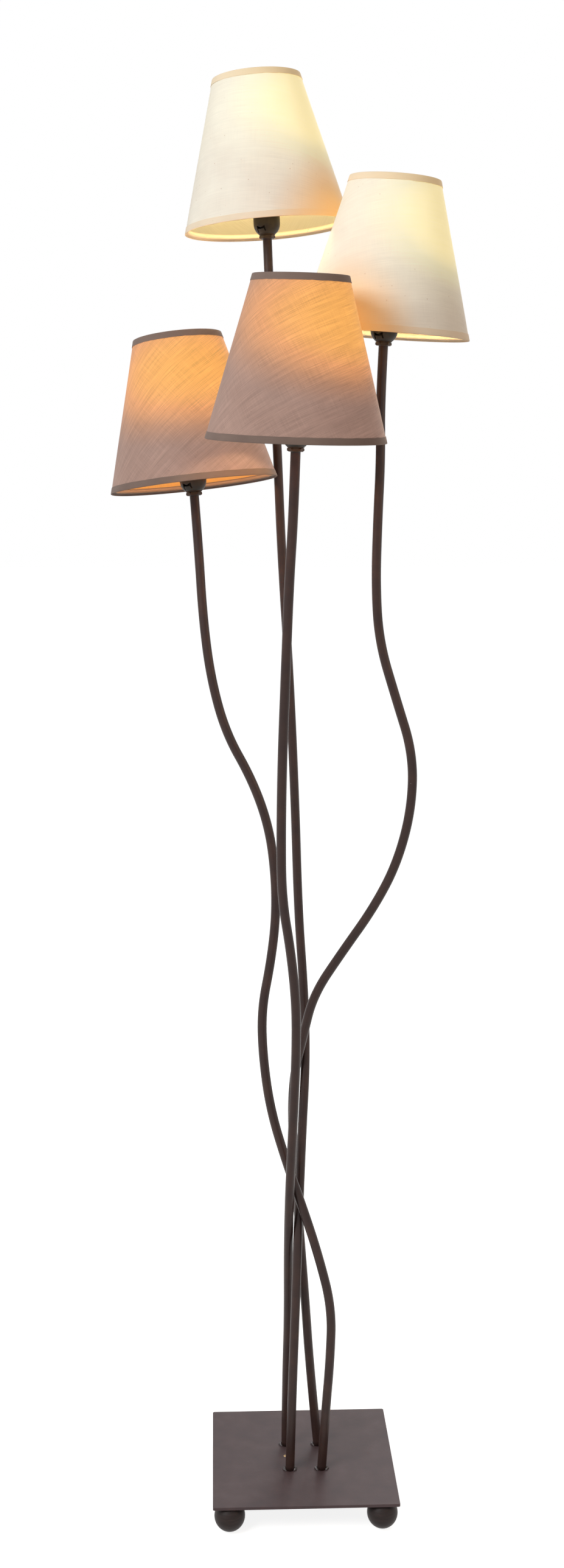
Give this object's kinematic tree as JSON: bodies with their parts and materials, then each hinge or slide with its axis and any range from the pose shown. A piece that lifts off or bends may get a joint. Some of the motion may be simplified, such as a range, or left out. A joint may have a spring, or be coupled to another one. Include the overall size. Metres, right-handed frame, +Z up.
{
  "type": "tree floor lamp",
  "caption": "Floor lamp with curved steel tubes rising from a square plate on ball feet, each ending in a lampholder with a bulb and a tapered fabric shade.",
  "frame": {"origin": "on the floor, under the middle of the square base plate", "axes": "+Z up; -Y towards the front, where the foremost taupe shade hangs; +X to the right seen from the front"},
  "size_m": [0.3775, 0.3802, 1.551],
  "materials": {
    "coated_steel": "dark brown powder coat, fine satin texture",
    "coated_ball": "dark brown lacquer on a turned ball, satin",
    "plated_steel": "zinc-plated, dull",
    "felt_pad": "pressed felt",
    "box_plastic": "moulded, fine grain",
    "block_plastic": "moulded polyamide",
    "gland_rubber": "moulded",
    "brass": "pressed",
    "dark_nut": "dark oxide, satin",
    "lead_sheath": "extruded sheath",
    "holder_plastic": "moulded heat-resistant thermoplastic, satin",
    "white_wire": "white coated wire",
    "white_fabric": "plain-woven cotton on film",
    "white_tape": "folded woven tape",
    "taupe_fabric": "plain-woven cotton with slubs, on film",
    "taupe_tape": "folded woven tape",
    "bulb_metal": "pressed, nickel tone",
    "opal_glass": "opal white inside coating"
  },
  "bodies": {
    "root": {"base_plate": "coated_steel", "weld_tacks": "coated_steel", "front_left_foot": "coated_ball", "front_right_foot": "coated_ball", "rear_left_foot": "coated_ball", "rear_right_foot": "coated_ball", "foot_studs": "plated_steel", "foot_pads": "felt_pad", "junction_box": "box_plastic", "box_screws": "plated_steel", "terminal_block": "block_plastic", "cord_gland": "gland_rubber", "earth_screw": "brass", "lock_nuts": "dark_nut", "inner_leads": "lead_sheath", "screw_shells": "brass", "high_tube": "coated_steel", "high_holder_cap": "holder_plastic", "high_holder_body": "holder_plastic", "right_tube": "coated_steel", "right_holder_cap": "holder_plastic", "right_holder_body": "holder_plastic", "front_tube": "coated_steel", "front_holder_cap": "holder_plastic", "front_holder_body": "holder_plastic", "left_tube": "coated_steel", "left_holder_cap": "holder_plastic", "left_holder_body": "holder_plastic"},
    "high_shade_set": {"high_shade_fitter": "white_wire", "high_shade_top_wire": "white_wire", "high_shade": "white_fabric", "high_shade_hems": "white_tape"},
    "high_collar": {"high_shade_collar": "holder_plastic"},
    "high_contact": {"high_centre_contact": "brass"},
    "high_bulb": {"high_bulb_cap": "bulb_metal", "high_bulb_glass": "opal_glass"},
    "right_shade_set": {"right_shade_fitter": "white_wire", "right_shade_top_wire": "white_wire", "right_shade": "white_fabric", "right_shade_hems": "white_tape"},
    "right_collar": {"right_shade_collar": "holder_plastic"},
    "right_contact": {"right_centre_contact": "brass"},
    "right_bulb": {"right_bulb_cap": "bulb_metal", "right_bulb_glass": "opal_glass"},
    "front_shade_set": {"front_shade_fitter": "white_wire", "front_shade_top_wire": "white_wire", "front_shade": "taupe_fabric", "front_shade_hems": "taupe_tape"},
    "front_collar": {"front_shade_collar": "holder_plastic"},
    "front_contact": {"front_centre_contact": "brass"},
    "front_bulb": {"front_bulb_cap": "bulb_metal", "front_bulb_glass": "opal_glass"},
    "left_shade_set": {"left_shade_fitter": "white_wire", "left_shade_top_wire": "white_wire", "left_shade": "taupe_fabric", "left_shade_hems": "taupe_tape"},
    "left_collar": {"left_shade_collar": "holder_plastic"},
    "left_contact": {"left_centre_contact": "brass"},
    "left_bulb": {"left_bulb_cap": "bulb_metal", "left_bulb_glass": "opal_glass"}
  },
  "joints": [
    {"name": "high_shade_turn", "type": "hinge", "parent": "root", "child": "high_shade_set", "pos_m": [-0.03733, 0.07229, 1.41527], "axis": [-0.0401, 0.0087, 0.9992], "continuous": true},
    {"name": "high_collar_turn", "type": "hinge", "parent": "root", "child": "high_collar", "pos_m": [-0.03749, 0.07232, 1.41937], "axis": [-0.0401, 0.0087, 0.9992], "range_deg": [0, 45]},
    {"name": "high_contact_travel", "type": "slide", "parent": "root", "child": "high_contact", "axis": [-0.0401, 0.0087, 0.9992], "range_m": [0, 0.00282]},
    {"name": "high_bulb_turn", "type": "hinge", "parent": "high_contact", "child": "high_bulb", "pos_m": [-0.03741, 0.0723, 1.41717], "axis": [-0.0401, 0.0087, 0.9992], "range_deg": [0, 360]},
    {"name": "right_shade_turn", "type": "hinge", "parent": "root", "child": "right_shade_set", "pos_m": [0.08462, -0.01121, 1.29624], "axis": [0.0488, -0.0366, 0.9981], "continuous": true},
    {"name": "right_collar_turn", "type": "hinge", "parent": "root", "child": "right_collar", "pos_m": [0.08482, -0.01136, 1.30033], "axis": [0.0488, -0.0366, 0.9981], "range_deg": [0, 45]},
    {"name": "right_contact_travel", "type": "slide", "parent": "root", "child": "right_contact", "axis": [0.0488, -0.0366, 0.9981], "range_m": [0, 0.00282]},
    {"name": "right_bulb_turn", "type": "hinge", "parent": "right_contact", "child": "right_bulb", "pos_m": [0.08471, -0.01128, 1.29814], "axis": [0.0488, -0.0366, 0.9981], "range_deg": [0, 360]},
    {"name": "front_shade_turn", "type": "hinge", "parent": "root", "child": "front_shade_set", "pos_m": [-0.01308, -0.13002, 1.18522], "axis": [0.0279, -0.061, 0.9977], "continuous": true},
    {"name": "front_collar_turn", "type": "hinge", "parent": "root", "child": "front_collar", "pos_m": [-0.01296, -0.13027, 1.18932], "axis": [0.0279, -0.061, 0.9977], "range_deg": [0, 45]},
    {"name": "front_contact_travel", "type": "slide", "parent": "root", "child": "front_contact", "axis": [0.0279, -0.061, 0.9977], "range_m": [0, 0.00282]},
    {"name": "front_bulb_turn", "type": "hinge", "parent": "front_contact", "child": "front_bulb", "pos_m": [-0.01303, -0.13014, 1.18712], "axis": [0.0279, -0.061, 0.9977], "range_deg": [0, 360]},
    {"name": "left_shade_turn", "type": "hinge", "parent": "root", "child": "left_shade_set", "pos_m": [-0.11859, 0.0383, 1.14012], "axis": [-0.0783, 0.0695, 0.9945], "continuous": true},
    {"name": "left_collar_turn", "type": "hinge", "parent": "root", "child": "left_collar", "pos_m": [-0.11891, 0.03859, 1.1442], "axis": [-0.0783, 0.0695, 0.9945], "range_deg": [0, 45]},
    {"name": "left_contact_travel", "type": "slide", "parent": "root", "child": "left_contact", "axis": [-0.0783, 0.0695, 0.9945], "range_m": [0, 0.00282]},
    {"name": "left_bulb_turn", "type": "hinge", "parent": "left_contact", "child": "left_bulb", "pos_m": [-0.11874, 0.03843, 1.14201], "axis": [-0.0783, 0.0695, 0.9945], "range_deg": [0, 360]}
  ],
  "couplings": [
    {"joint": "high_bulb_turn", "follows": "high_contact_travel", "rad_per_m": 2228.1},
    {"joint": "right_bulb_turn", "follows": "right_contact_travel", "rad_per_m": 2228.1},
    {"joint": "front_bulb_turn", "follows": "front_contact_travel", "rad_per_m": 2228.1},
    {"joint": "left_bulb_turn", "follows": "left_contact_travel", "rad_per_m": 2228.1}
  ]
}
